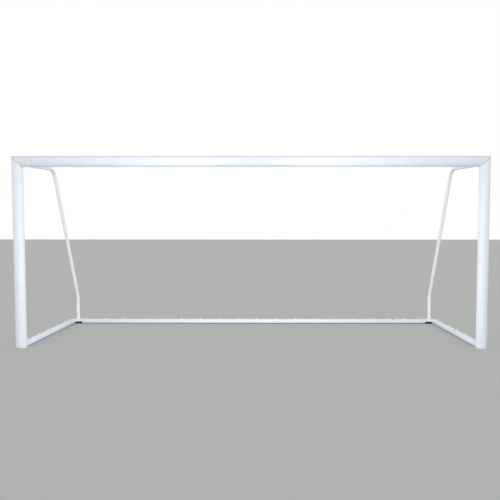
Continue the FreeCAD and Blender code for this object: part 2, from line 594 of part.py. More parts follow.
def make_rear_corners():
    """Casting that turns the ground frame's corner, with both spigots and the leg's socket."""
    body = new_body("right_rear_corner")
    arm = [(BAR_OUTER_X, SIDE_END), (BAR_OUTER_X, REAR_BACK, "dims.corner_round"),
           (BAR_INNER_X, REAR_BACK), (BAR_INNER_X, SIDE_END)]
    prism(body, "XY", "dims.bar_lift", "dims.bar_height", outline(arm))
    turn = [(BAR_OUTER_X, SIDE_END), (BAR_OUTER_X, REAR_BACK, "dims.corner_round"),
            (REAR_END, REAR_BACK), (REAR_END, REAR_FRONT),
            (BAR_INNER_X, REAR_FRONT, "dims.corner_fillet"), (BAR_INNER_X, SIDE_END)]
    prism(body, "XY", "dims.pad_height", f"{BAR_TOP} - dims.pad_height", outline(turn))
    round_edges(body, "dims.corner_edge", lambda spot: near(spot.z, BAR_TOP)
                and not near(spot.y, SIDE_END) and not near(spot.x, REAR_END))
    prism(body, "XY", f"{BAR_TOP} - dims.boss_root", "dims.boss_root + dims.boss_rise",
          circle(SUPPORT_X, LEG_Y, "dims.boss_radius"))
    prism(body, "XY", "dims.socket_floor", BOSS_TOP,
          circle(SUPPORT_X, LEG_Y, f"{BUSH_RADIUS} + 2 * dims.thread_play"), cut=True)
    side_spigot = f"{SIDE_END} - dims.spigot_length"
    rear_spigot = f"{REAR_END} - dims.spigot_length"
    spigot(body, "XZ", side_spigot, BAR_INNER_X, side_spigot)
    spigot(body, "YZ", rear_spigot, REAR_FRONT, rear_spigot)
    prism(body, "XY", f"{BAR_TOP} - dims.thread_depth", f"dims.thread_depth + {BEYOND}",
          circle(SPIGOT_X, f"{SIDE_END} - dims.corner_screw", SCREW_THREAD),
          circle(f"{REAR_END} - dims.corner_screw", SPIGOT_Y, SCREW_THREAD), cut=True)
    drill(body, "XY", "dims.pad_height", "dims.pad_thread_depth", PAD_SCREWS, SMALL_THREAD)
    stem = "dims.hook_stem"
    tip = f"({BAR_OUTER_X} + dims.hook_reach)"
    low = f"({BAR_Z} - dims.lug_drop)"
    prism(body, "XZ", "dims.base_depth - dims.lug_setback - dims.hook_width / 2", "dims.hook_width",
          outline([(f"{BAR_OUTER_X} - dims.lug_root", low), (tip, low, f"{stem} * 1.5"),
                   (tip, f"{BAR_Z} + dims.hook_rise"), (f"{tip} - {stem}", f"{BAR_Z} + dims.hook_rise"),
                   (f"{tip} - {stem}", f"{low} + {stem}", f"{stem} / 2"),
                   (f"{BAR_OUTER_X} - dims.lug_root", f"{low} + {stem}")]))
    mirrored(body, "left_rear_corner")


def make_corner_pads():
    body = new_body("right_corner_pad")
    inset = "dims.pad_inset"
    prism(body, "XY", "0", "dims.pad_height", rectangle(
        f"{REAR_END} + {inset}", f"{REAR_FRONT} + {inset}", f"{BAR_INNER_X} - {REAR_END} - 2 * {inset}",
        f"dims.bar_width - 2 * {inset}", "dims.pad_round"))
    drill(body, "XY", "0", "dims.pad_height", PAD_SCREWS, SMALL_HOLE)
    drill(body, "XY", "0", "dims.pad_height / 2", PAD_SCREWS, "dims.pad_bore")
    mirrored(body, "left_corner_pad")


def make_rear_bars():
    gap = "(dims.mitre_gap / 3)"
    for side, sign in (("right", ""), ("left", "-")):
        body = new_body(f"{side}_rear_bar")
        start = gap if side == "right" else f"-{REAR_END}"
        bar_rail(body, "YZ", start, f"{REAR_END} - {gap}", "dims.base_depth", REAR_BACK)
        drill(body, "XY", f"{BAR_TOP} - dims.bar_wall", f"dims.bar_wall + {BEYOND}",
              [(f"{sign}({REAR_END} - dims.corner_screw)", SPIGOT_Y)], SCREW_HOLE)
        through(body, "XY", circle(f"{sign}dims.anchor_x", SPIGOT_Y, ANCHOR_HOLE))
        if side == "right":
            drill(body, "XZ", REAR_FRONT, f"dims.bar_wall + {BEYOND}",
                  [(x, BAR_Z) for x in SLEEVE_SCREWS], SCREW_HOLE)
        else:
            drill(body, "XY", "dims.bar_lift", f"dims.bar_wall + {BEYOND}",
                  [(x, SPIGOT_Y) for x in SLEEVE_RIVETS], RIVET_HOLE)


def make_rear_sleeve():
    """Tube inside the rear bar that joins its two halves."""
    body = new_body("rear_bar_sleeve")
    prism(body, "YZ", "-dims.sleeve_left", "dims.sleeve_left + dims.sleeve_right",
          *spigot_sections(REAR_FRONT))
    depth = f"dims.spigot_wall + {BEYOND}"
    drill(body, "XZ", f"{REAR_FRONT} + {SPIGOT_LOW}", depth, [(x, BAR_Z) for x in SLEEVE_SCREWS],
          SCREW_THREAD)
    drill(body, "XY", f"dims.bar_lift + {SPIGOT_LOW}", depth, [(x, SPIGOT_Y) for x in SLEEVE_RIVETS],
          RIVET_HOLE)


def make_support_brackets():
    """Plate bolted to the crossbar's groove, with a slotted pocket open at the top."""
    body = new_body("right_support_bracket", x=SUPPORT_X, y=POST_LAND)
    wing_low = f"{BEAM_Z} - dims.wing_height / 2"
    wing_high = f"{BEAM_Z} + dims.wing_height / 2"
    side, base, edge = "dims.pocket_half", "dims.pocket_base", "dims.wing_round"
    prism(body, "XZ", "0", "dims.plate", outline([
        (f"-{side}", base), (side, base), (side, wing_low),
        ("dims.wing", wing_low, edge), ("dims.wing", wing_high, edge),
        ("-dims.wing", wing_high, edge), ("-dims.wing", wing_low, edge), (f"-{side}", wing_low)]))
    height = f"dims.pocket_top - {base}"
    back, lip = "dims.pocket_depth", "(dims.pocket_depth - dims.pocket_lip)"
    cheek = [(side, "0"), (f"({side} - dims.pocket_wall)", "0"), (f"({side} - dims.pocket_wall)", lip),
             ("dims.pocket_slot", lip), ("dims.pocket_slot", back), (side, back, "dims.pocket_lip")]
    for sign in ("", "-"):
        prism(body, "XY", base, height, outline([(f"{sign}{x}", *rest) for x, *rest in cheek]))
    prism(body, "XY", base, "dims.pocket_floor", rectangle(f"-{side}", "0", f"2 * {side}", lip))
    drill(body, "XZ", "0", "dims.plate", [("dims.wing_bolt", BEAM_Z), ("-dims.wing_bolt", BEAM_Z)],
          SCREW_HOLE)
    mirrored(body, "left_support_bracket")


def make_socket_bushes():
    body = new_body("right_socket_bush", x=SUPPORT_X, y=LEG_Y)
    bore = circle("0", "0", "dims.support_radius + dims.leg_play")
    low = "(dims.socket_floor + 2 * dims.thread_play)"
    prism(body, "XY", low, f"{BOSS_TOP} - {low}", circle("0", "0", BUSH_RADIUS), bore)
    prism(body, "XY", BOSS_TOP, "dims.bush_rim", circle("0", "0", "dims.boss_radius"), bore)
    mirrored(body, "left_socket_bush")


def make_supports():
    """Bent tube, the tongue that hooks into the crossbar's bracket, and the plug in the leg."""
    body = new_body("right_support_tube", x=SUPPORT_X)
    path = add_sketch(body, "YZ")
    outline([("dims.support_start", SUPPORT_Z), ("dims.set_y", SUPPORT_Z, "dims.set_radius"),
             ("dims.bend_y", f"({SUPPORT_Z} + dims.bend_rise)", "dims.bend_radius"),
             (LEG_Y, "dims.kink_z", "dims.kink_radius"), (LEG_Y, "dims.leg_foot + dims.leg_plug")],
            closed=False)(path)
    section = add_sketch(body, "XZ", "dims.support_start")
    circle("0", SUPPORT_Z, "dims.support_radius")(section)
    circle("0", SUPPORT_Z, "dims.support_radius - dims.support_wall")(section)
    pipe = body.newObject("PartDesign::AdditivePipe", f"{body.Name}_pipe")
    pipe.Profile = section
    pipe.Spine = path
    mirrored(body, "left_support_tube")

    body = new_body("right_support_tongue", x=SUPPORT_X)
    disc = "(dims.support_start - dims.tongue_disc)"
    front = f"({POST_LAND} + dims.tongue_front)"
    thick, height = "dims.tongue_thick", "dims.tongue_top - dims.tongue_base"
    for start, length, half, edge in ((front, thick, "dims.tongue_half", "dims.pocket_lip"),
                                      (f"{front} + {thick}", f"{disc} - {front} - {thick}",
                                       "dims.neck_half", None)):
        prism(body, "XZ", start, length,
              rectangle(f"-{half}", "dims.tongue_base", f"2 * {half}", height, edge))
    prism(body, "XZ", disc, "dims.tongue_disc", circle("0", SUPPORT_Z, "dims.support_radius"))
    mirrored(body, "left_support_tongue")

    body = new_body("right_leg_plug", x=SUPPORT_X, y=LEG_Y)
    prism(body, "XY", "dims.leg_foot", "dims.leg_plug", circle("0", "0", "dims.support_radius"))
    prism(body, "XY", "dims.leg_foot + dims.leg_plug", "dims.leg_plug_body",
          circle("0", "0", "dims.support_radius - dims.support_wall - 2 * dims.thread_play"))
    round_edges(body, "dims.leg_plug_edge", lambda spot: near(spot.z, "dims.leg_foot"))
    mirrored(body, "left_leg_plug")


def master(name):
    """Body that is drawn once at the origin and placed by links; +Y points out of the surface."""
    return doc.addObject("PartDesign::Body", name)


def group(label, source, spots):
    """Compound of one piece at many places: (x, y, z, turn) each, expressions of the sheet."""
    links = []
    for x, y, z, turn in spots:
        link = doc.addObject("App::Link", f"{label}_link")
        link.LinkedObject = source
        link.Placement = FreeCAD.Placement(Vector(), turn)
        place(link, x, y, z)
        links.append(link)
    compound = doc.addObject("Part::Compound", label)
    compound.Links = links
    return keep(compound, label)


def both_sides(spots):
    """The spots and their mirror images."""
    turns = {id(RIGHTWARD): LEFTWARD, id(LEFTWARD): RIGHTWARD}
    return spots + [(f"-{x}", y, z, turns.get(id(turn), turn)) for x, y, z, turn in spots]


def make_screws():
    screw = master("cap_screw")
    length, height = "dims.small_screw_length", "dims.small_head_height"
    prism(screw, "XZ", f"-{length}", length, circle("0", "0", "dims.small_screw"))
    prism(screw, "XZ", "0", height, circle("0", "0", "dims.small_head"))
    prism(screw, "XZ", f"{height} / 2", height, hexagon("dims.small_socket"), cut=True)
    group("corner_connector_screws", screw, both_sides(
        [(POST_X, CHANNEL_FLOOR, f"({BEAM_Z} - {distance})", BACKWARD)
         for distance in CONNECTOR_SCREWS]
        + [(f"({POST_X} - {distance})", CHANNEL_FLOOR, BEAM_Z, BACKWARD)
           for distance in CONNECTOR_SCREWS]))
    group("pad_screws", screw, both_sides(
        [(x, y, "(dims.pad_height / 2)", DOWNWARD) for x, y in PAD_SCREWS]))

    screw = master("button_screw")
    length, height = "dims.large_screw_length", "dims.large_head_height"
    prism(screw, "XZ", f"-{length}", length, circle("0", "0", "dims.large_screw"))
    prism(screw, "XZ", "0", height, circle("0", "0", "dims.large_head"))
    round_edges(screw, f"{height} - dims.large_head_edge", lambda spot: near(spot.y, height))
    prism(screw, "XZ", f"{height} / 3", height, hexagon("dims.large_socket"), cut=True)
    group("bar_screws", screw, both_sides([
        (BAR_INNER_X, "dims.front_screw_y", BAR_Z, LEFTWARD),
        (SPIGOT_X, f"({SIDE_END} - dims.corner_screw)", BAR_TOP, UPWARD),
        (f"({REAR_END} - dims.corner_screw)", SPIGOT_Y, BAR_TOP, UPWARD)])
        + [(x, REAR_FRONT, BAR_Z, FORWARD) for x in SLEEVE_SCREWS])


def make_rivets():
    rivet = master("blind_rivet")
    length, height = "dims.rivet_length", "dims.rivet_head_height"
    prism(rivet, "XZ", f"-{length}", length, circle("0", "0", "dims.rivet_radius"))
    prism(rivet, "XZ", "0", height, circle("0", "0", "dims.rivet_head"))
    round_edges(rivet, f"{height} * 2 / 3", lambda spot: near(spot.y, height))
    group("sleeve_rivets", rivet, [(x, SPIGOT_Y, "dims.bar_lift", DOWNWARD) for x in SLEEVE_RIVETS])


def make_groove_bolts():
    """T bolts in the profiles' grooves and their flange nuts, on brackets and shoes."""
    spots = both_sides(
        [(f"({SUPPORT_X} + {shift})", POST_LAND, BEAM_Z, BACKWARD)
         for shift in ("dims.wing_bolt", "-dims.wing_bolt")]
        + [(POST_X, POST_LAND, height, BACKWARD) for height in SHOE_BOLTS])
    bolt = master("t_bolt")
    play = "dims.fit_gap"
    foot = f"(dims.channel_wall + {play})"
    prism(bolt, "XZ", f"-{foot} - dims.bolt_foot_height", "dims.bolt_foot_height",
          block("dims.bolt_foot_width", "dims.bolt_foot_length", "dims.bolt_tip"))
    prism(bolt, "XZ", f"-{foot}", f"{foot} + dims.plate + dims.nut_height + dims.bolt_tip",
          circle("0", "0", "dims.large_screw"))
    group("t_slot_bolts", bolt, spots)

    nut = master("flange_nut")
    thread = circle("0", "0", SCREW_THREAD)
    flange, height = "dims.nut_flange", "dims.nut_height"
    prism(nut, "XZ", "dims.plate", flange, circle("0", "0", f"dims.nut_radius + {BEYOND}"), thread)
    prism(nut, "XZ", f"dims.plate + {flange}", f"{height} - {flange}", hexagon("dims.nut_radius"),
          thread)
    group("t_slot_nuts", nut, spots)


def make_anchor_bushes():
    bush = master("anchor_bush")
    bore = circle("0", "0", "dims.anchor_bore")
    prism(bush, "XZ", "-dims.bar_height", "dims.bar_height",
          circle("0", "0", "dims.anchor_bore + dims.anchor_wall"), bore)
    prism(bush, "XZ", "0", "dims.anchor_rim_height", circle("0", "0", "dims.anchor_rim"), bore)
    group("anchor_bushes", bush, both_sides([
        (SPIGOT_X, "dims.anchor_y", BAR_TOP, UPWARD), ("dims.anchor_x", SPIGOT_Y, BAR_TOP, UPWARD)]))


def make_hooks():
    """Plastic net hook: square foot in the groove, neck through its mouth, plate and J-shaped arm."""
    hook = master("net_hook")
    foot, play = "dims.hook_foot", "dims.hook_play"
    under = f"(dims.channel_wall + {play})"
    prism(hook, "XZ", f"-{under} - dims.hook_foot_height", "dims.hook_foot_height",
          block(foot, foot, "dims.hook_round"))
    prism(hook, "XZ", f"-{under}", f"{under} + dims.hook_plate",
          block("dims.hook_neck", "dims.hook_neck"))
    prism(hook, "XZ", play, "dims.hook_plate",
          block("dims.hook_plate_width", "dims.hook_plate_height", "dims.hook_round"))
    stem, tip, rise = "dims.hook_stem", "dims.hook_reach", "dims.hook_rise"
    low, root = "-dims.hook_low", "dims.hook_plate"
    prism(hook, "YZ", "-dims.hook_width / 2", "dims.hook_width", outline([
        (root, low), (tip, low, "dims.hook_bend"), (tip, rise, f"{stem} / 3"),
        (f"{tip} - {stem}", rise, f"{stem} / 3"),
        (f"{tip} - {stem}", f"{low} + {stem}", f"dims.hook_bend - {stem}"), (root, f"{low} + {stem}")]))

    def row(count, name):
        return [f"(dims.{name}_first + {index} * dims.{name}_pitch)" for index in range(count)]

    group("crossbar_hooks", hook, both_sides(
        [(x, POST_LAND, BEAM_Z, BACKWARD) for x in row(BEAM_HOOKS, "beam_hook")]))
    for side, sign, turn in (("right", "", RIGHTWARD), ("left", "-", LEFTWARD)):
        group(f"{side}_post_hooks", hook, [
            (f"{sign}{POST_X}", POST_LAND, z, BACKWARD) for z in row(POST_HOOKS, "post_hook")])
        group(f"{side}_side_bar_hooks", hook, [
            (f"{sign}{BAR_OUTER_X}", y, BAR_Z, turn) for y in row(SIDE_HOOKS, "side_hook")])
    left = [f"-{x}" for x in row(LEFT_REAR_HOOKS, "left_rear_hook")]
    right = row(RIGHT_REAR_HOOKS, "right_rear_hook") + row(END_REAR_HOOKS, "end_rear_hook")
    for side, places in (("right", right), ("left", left)):
        group(f"{side}_rear_bar_hooks", hook, [(x, REAR_BACK, BAR_Z, BACKWARD) for x in places])


def check_and_export():
    doc.recompute()
    for item in doc.Objects:
        if "Invalid" in item.State or "Error" in item.State:
            raise RuntimeError(f"{item.Label} failed: {item.State}")
    os.makedirs("parts", exist_ok=True)
    for label, piece in parts.items():
        if piece.Shape.isNull() or not piece.Shape.isValid():
            raise RuntimeError(f"{label} has no valid shape")
    for label, piece in parts.items():
        piece.Shape.exportStep(f"parts/{label}.step")
    whole = Part.makeCompound([piece.Shape for piece in parts.values()])
    print(len(parts), "sub-parts", whole.optimalBoundingBox(True, False))


make_crossbar()
make_posts()
make_corner_connectors()
make_post_caps()
make_shoes()
make_side_bars()
make_rear_corners()
make_corner_pads()
make_rear_bars()
make_rear_sleeve()
make_support_brackets()
make_socket_bushes()
make_supports()
make_screws()
make_rivets()
make_groove_bolts()
make_anchor_bushes()
make_hooks()
check_and_export()
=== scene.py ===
"""Looks of a free-standing soccer goal frame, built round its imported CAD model.

Shapes are drawn in millimetres in the row frame and become metres when their mesh is made. Every
place comes from the CAD nodes' boxes or their separate solids.
"""

import json
from math import asin, atan2, cos, pi, radians, sin, sqrt, tan

import bmesh
import bpy
from mathutils import Matrix, Vector
from mathutils.geometry import tessellate_polygon


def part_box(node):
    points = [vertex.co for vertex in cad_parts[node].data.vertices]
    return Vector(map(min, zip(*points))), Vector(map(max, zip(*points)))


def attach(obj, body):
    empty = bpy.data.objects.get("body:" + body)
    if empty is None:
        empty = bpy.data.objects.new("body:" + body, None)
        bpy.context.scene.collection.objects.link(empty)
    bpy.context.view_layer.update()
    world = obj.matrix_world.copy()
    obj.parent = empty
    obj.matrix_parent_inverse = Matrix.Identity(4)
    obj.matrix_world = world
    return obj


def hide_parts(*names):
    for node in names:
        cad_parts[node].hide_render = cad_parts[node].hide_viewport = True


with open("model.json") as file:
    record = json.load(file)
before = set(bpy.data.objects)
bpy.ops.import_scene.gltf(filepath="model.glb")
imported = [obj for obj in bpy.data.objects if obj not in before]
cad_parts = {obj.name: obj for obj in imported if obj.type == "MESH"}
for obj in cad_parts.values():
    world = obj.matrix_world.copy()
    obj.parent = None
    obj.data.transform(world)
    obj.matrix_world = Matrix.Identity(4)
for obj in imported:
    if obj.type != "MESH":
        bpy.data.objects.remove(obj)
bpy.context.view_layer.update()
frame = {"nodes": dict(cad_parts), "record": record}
record = frame["record"]
scene = bpy.context.scene

MM = 0.001                 # one millimetre in metres
SIDES = (("left", -1), ("right", 1))
X, Y, Z = Vector((1, 0, 0)), Vector((0, 1, 0)), Vector((0, 0, 1))

# Sections, in millimetres, as in the CAD.
OVAL_WIDE, OVAL_DEEP, OVAL_WALL = 120, 100, 3
LAND_DROP = 1.6            # flat land at the groove, below the oval's crown
BAR_WIDE, BAR_HIGH, BAR_ROUND, BAR_WALL = 80, 50, 15, 3
GROOVE_HALF, GROOVE_DEEP, GROOVE_WALL, MOUTH_HALF = 10, 12, 3, 5
TUBE_RADIUS, TUBE_WALL = 21, 2.5
SET_RUN, SET_BEND = 30, 300        # net support: from its front end to a slight bend, and its radius
UPPER_RUN, UPPER_RISE, UPPER_BEND = 655, 32, 150   # to its upper bend, how far it climbs, radius
LEG_RUN, LOWER_BEND = 348, 90      # from its foot up to its lower bend, radius
CREASE = 32                # sharper edges than this, in degrees, aren't shaded smooth

slot_of = {part["node"]: part["material_slot"] for part in record["subparts"]}
body_of = {node: body for body, nodes in record["behaviour"]["bodies"].items() for node in nodes}
looks = {}                 # material of each slot, filled by the material section


def box(node):
    """Lowest and highest corner of a CAD node, in millimetres."""
    return tuple(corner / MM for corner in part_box(node))


# ---------------------------------------------------------------- procedural materials

class Look:
    """A node material under construction, with short calls for the nodes it is made of."""

    def __init__(self, name):
        self.material = bpy.data.materials.new(name)
        self.material.use_nodes = True
        self.tree = self.material.node_tree
        self.shader = self.tree.nodes["Principled BSDF"]
        self.place = self.tree.nodes.new("ShaderNodeTexCoord").outputs["Object"]

    def node(self, kind, settings=None, **inputs):
        item = self.tree.nodes.new(kind)
        for key, setting in (settings or {}).items():
            setattr(item, key, setting)
        for key, source in inputs.items():
            self.feed(item.inputs[key.replace("_", " ")], source)
        return item

    def feed(self, socket, source):
        if isinstance(source, bpy.types.NodeSocket):
            self.tree.links.new(source, socket)
        elif isinstance(source, (tuple, list)) and socket.type == "RGBA":
            socket.default_value = (*source, 1)
        else:
            socket.default_value = source

    def noise(self, scale, detail=3, stretch=(1, 1, 1), roughness=0.5):
        """Fractal noise; scale is in features per metre."""
        spread = self.node("ShaderNodeMapping", Vector=self.place, Scale=stretch).outputs[0]
        return self.node("ShaderNodeTexNoise", Vector=spread, Scale=scale, Detail=detail,
                         Roughness=roughness).outputs["Fac"]

    def steer(self, source, low, high, to_low=0.0, to_high=1.0):
        """Map a value from low..high to another range, clamped."""
        item = self.node("ShaderNodeMapRange", Value=source)
        for index, number in zip(range(1, 5), (low, high, to_low, to_high)):
            item.inputs[index].default_value = number
        return item.outputs[0]

    def math(self, operation, first, second):
        item = self.node("ShaderNodeMath", {"operation": operation})
        self.feed(item.inputs[0], first)
        self.feed(item.inputs[1], second)
        return item.outputs[0]

    def mix(self, factor, first, second):
        item = self.node("ShaderNodeMix", {"data_type": "RGBA"})
        self.feed(item.inputs["Factor"], factor)
        self.feed(item.inputs[6], first)
        self.feed(item.inputs[7], second)
        return item.outputs[2]

    def height(self):
        """Height above the ground, in metres."""
        return self.node("ShaderNodeSeparateXYZ", Vector=self.place).outputs["Z"]

    def bump(self, source, distance, strength=1.0, under=None):
        item = self.node("ShaderNodeBump", Height=source, Distance=distance, Strength=strength)
        if under is not None:
            self.feed(item.inputs["Normal"], under)
        return item.outputs["Normal"]

    def finish(self, **inputs):
        for key, source in inputs.items():
            self.feed(self.shader.inputs[key.replace("_", " ")], source)
        return self.material


DUST, FILM = (0.36, 0.36, 0.29), (0.33, 0.33, 0.27)         # settled on metal and on plastic
# The mitre joint's colour is painted shade: the dark of the shadow in the joint's gap.
PRIMER, MITRE_GAP_SHADE = (0.55, 0.56, 0.57), (0.10, 0.10, 0.105)     # in nicks and in the mitre joint


def mitre_shade_line(look):
    """Painted shade of the shadow in the gap between the crossbar and a post: 0.9 on the joint's plane at
    45 degrees, and 0 elsewhere.
    """
    high = box("crossbar")[1] * MM
    core, fade = 0.0014, 0.0028                              # off the plane, in metres
    spot = look.node("ShaderNodeSeparateXYZ", Vector=look.place)
    outward = look.math("ABSOLUTE", spot.outputs["X"], 0.0)
    off = look.math("ABSOLUTE", look.math("SUBTRACT", look.math("SUBTRACT", outward, spot.outputs["Z"]),
                                          high.x - high.z), 0.0)
    return look.math("MULTIPLY", look.steer(off, core, fade, 0.9, 0),
                     look.steer(spot.outputs["Z"], high.z - 0.14, high.z - 0.13))


def powder_coat(name, color, rough, peel, cast=False, mitred=False):
    """White polyester powder coat: orange peel, faint cloudiness, rain streaks, ground dust, nicks, and
    painted shade along a mitre joint.
    """
    look = Look(name)
    shade = tuple(c * 0.978 for c in color)
    cloud = look.steer(look.noise(5, 4), 0.35, 0.65)
    streak = look.steer(look.noise(30, 3, (1, 1, 0.05)), 0.55, 0.8, 0, 0.25)
    tone = look.mix(cloud, color, shade)
    tone = look.mix(streak, tone, (color[0] * 0.93, color[1] * 0.93, color[2] * 0.92))
    low = look.steer(look.height(), 0.0, 0.11, 1, 0)
    dirt = look.math("MULTIPLY", look.math("POWER", low, 1.7), look.steer(look.noise(38, 6), 0.38, 0.72))
    tone = look.mix(look.math("MULTIPLY", dirt, 0.12), tone, DUST)
    nick = look.steer(look.noise(95, 5, roughness=0.68), 0.735, 0.76)
    nick = look.math("MULTIPLY", nick, look.steer(look.height(), 0.02, 0.6, 0.5, 0.18))
    tone = look.mix(nick, tone, PRIMER)
    # painted shade: the mitre joint is darkened where the shadow of its gap falls
    if mitred:
        tone = look.mix(mitre_shade_line(look), tone, MITRE_GAP_SHADE)
    gloss = look.steer(look.noise(11, 4), 0.3, 0.7, rough - 0.04, rough + 0.06)
    gloss = look.math("ADD", gloss, look.math("MULTIPLY", dirt, 0.2))
    skin = look.bump(look.noise(420, 2), peel, 0.5)
    if cast:
        skin = look.bump(look.noise(160, 4), peel * 2.4, 0.5, skin)
    return look.finish(Base_Color=tone, Roughness=gloss, Normal=skin, Coat_Weight=0.18,
                       Coat_Roughness=0.22, Specular_IOR_Level=0.42)


def plastic(name, color, rough, grain, dust):
    """Moulded plastic with a fine spark-eroded grain and dust that settles near the ground."""
    look = Look(name)
    shade = tuple(c * 0.93 for c in color)
    tone = look.mix(look.steer(look.noise(14, 4), 0.3, 0.7), color, shade)
    low = look.steer(look.height(), 0.0, 0.10, 1, 0)
    film = look.math("MULTIPLY", low, look.steer(look.noise(60, 5), 0.35, 0.7))
    tone = look.mix(look.math("MULTIPLY", film, dust), tone, FILM)
    gloss = look.steer(look.noise(45, 3), 0.3, 0.7, rough - 0.05, rough + 0.08)
    return look.finish(Base_Color=tone, Roughness=gloss, Normal=look.bump(look.noise(900, 2), grain, 0.5),
                       Subsurface_Weight=0.03, Subsurface_Scale=0.004)


def rubber(name):
    """Black moulded rubber with patches of dust."""
    look = Look(name)
    tone = look.mix(look.steer(look.noise(60, 5), 0.35, 0.7), (0.016, 0.016, 0.017), (0.034, 0.033, 0.031))
    dust = look.steer(look.noise(120, 6), 0.6, 0.8, 0, 0.35)
    tone = look.mix(dust, tone, (0.12, 0.115, 0.09))
    return look.finish(Base_Color=tone, Roughness=look.steer(look.noise(80, 4), 0.3, 0.7, 0.68, 0.86),
                       Normal=look.bump(look.noise(600, 4), 0.00012, 0.7))


def metal(name, color, rough, brushed=(1, 1, 1), stain=(0.42, 0.42, 0.40)):
    """Bare metal with a drawn or plated finish and slight dulling."""
    look = Look(name)
    tone = look.mix(look.steer(look.noise(70, 5), 0.45, 0.75, 0, 0.5), color, stain)
    gloss = look.steer(look.noise(240, 3, brushed), 0.3, 0.7, rough - 0.08, rough + 0.12)
    return look.finish(Base_Color=tone, Roughness=gloss, Metallic=1.0,
                       Normal=look.bump(look.noise(500, 2, brushed), 0.00004, 0.5))


def ground(name):
    """Plain pale floor with the faintest unevenness."""
    look = Look(name)
    tone = look.mix(look.steer(look.noise(0.7, 4), 0.3, 0.7), (0.57, 0.582, 0.57), (0.58, 0.592, 0.58))
    return look.finish(Base_Color=tone, Roughness=0.92, Specular_IOR_Level=0.15,
                       Normal=look.bump(look.noise(35, 4), 0.001, 0.3))


WHITE = (0.79, 0.835, 0.905)
looks.update({
    "frame_white": powder_coat("powder_coat_profile", WHITE, 0.34, 0.00006, mitred=True),
    "support_white": powder_coat("powder_coat_tube", (0.87, 0.905, 0.955), 0.31, 0.00006),
    "casting_white": powder_coat("powder_coat_casting", (0.775, 0.82, 0.885), 0.42, 0.00008, cast=True),
    "cap_white": plastic("moulded_cap", (0.82, 0.84, 0.87), 0.42, 0.00003, 0.45),
    "hook_white": plastic("moulded_hook", (0.90, 0.91, 0.93), 0.38, 0.00002, 0.06),
    "pad_rubber": rubber("moulded_rubber"),
    "inner_aluminium": metal("mill_aluminium", (0.72, 0.73, 0.75), 0.38, (1, 8, 8)),
    "zinc_steel": metal("bright_zinc", (0.60, 0.61, 0.63), 0.34),
    "grey_bush": plastic("dark_nylon", (0.022, 0.023, 0.025), 0.5, 0.00002, 0.03),
})


# ---------------------------------------------------------------- shapes

class Shape:
    """Points and faces of a mesh that is being put together."""

    def __init__(self):
        self.points, self.faces = [], []

    def add(self, other, matrix=Matrix()):
        """Take in another shape, moved by the matrix."""
        start = len(self.points)
        self.points += [matrix @ point for point in other.points]
        self.faces += [tuple(start + i for i in face) for face in other.faces]
        return self

    def middle(self):
        """Centre of the shape's box."""
        low, high = zip(*((min(axis), max(axis)) for axis in zip(*self.points)))
        return (Vector(low) + Vector(high)) / 2


def wind(loop, clockwise):
    """The loop of 2D points, turned to run the given way."""
    area = sum(a[0] * b[1] - b[0] * a[1] for a, b in zip(loop, loop[1:] + loop[:1]))
    return loop if (area < 0) == clockwise else loop[::-1]


def shrink(loop, distance):
    """Move each point of a loop into the material on its left."""
    moved = []
    for before, here, after in zip(loop[-1:] + loop[:-1], loop, loop[1:] + loop[:1]):
        first = (Vector(here) - Vector(before)).normalized()
        second = (Vector(after) - Vector(here)).normalized()
        normals = Vector((-first.y, first.x)), Vector((-second.y, second.x))
        share = max(1 + normals[0].dot(normals[1]), 0.4)
        moved.append(Vector(here) + (normals[0] + normals[1]) * (distance / share))
    return moved


def corners(*points, steps=5):
    """Closed loop through (x, y) or rounded (x, y, radius) corners."""
    loop = []
    for i, (x, y, *rest) in enumerate(points):
        here = Vector((x, y))
        if not rest:
            loop.append((x, y))
            continue
        radius = rest[0]
        back = (Vector(points[i - 1][:2]) - here).normalized()
        on = (Vector(points[(i + 1) % len(points)][:2]) - here).normalized()
        half = back.angle(on) / 2
        centre = here + (back + on).normalized() * (radius / sin(half))
        start = here + back * (radius / tan(half)) - centre
        end = here + on * (radius / tan(half)) - centre
        from_angle = atan2(start.y, start.x)
        turn = (atan2(end.y, end.x) - from_angle + pi) % (2 * pi) - pi
        loop += [(centre.x + radius * cos(from_angle + turn * k / steps),
                  centre.y + radius * sin(from_angle + turn * k / steps)) for k in range(steps + 1)]
    return loop


def ring(radius, count=40, x=0, y=0):
    """Circle as a loop of points."""
    angles = [2 * pi * i / count for i in range(count)]
    return [(x + radius * cos(angle), y + radius * sin(angle)) for angle in angles]


def slab(wide, high, radius):
    """Rounded rectangle about the origin."""
    x, y = wide / 2, high / 2
    return corners((-x, -y, radius), (x, -y, radius), (x, y, radius), (-x, y, radius))


def rounded(length, start_round, end_round, steps=3):
    """Distances along a solid and the insets there that round its two end edges."""
    stops = []
    for radius, place in ((start_round, lambda d: d), (end_round, lambda d: length - d)):
        angles = [pi / 2 * k / steps for k in range(steps + 1)] if radius else [pi / 2]
        stops.append([(place(radius * (1 - cos(a))), radius * (1 - sin(a))) for a in angles])
    return stops[0] + stops[1][::-1]


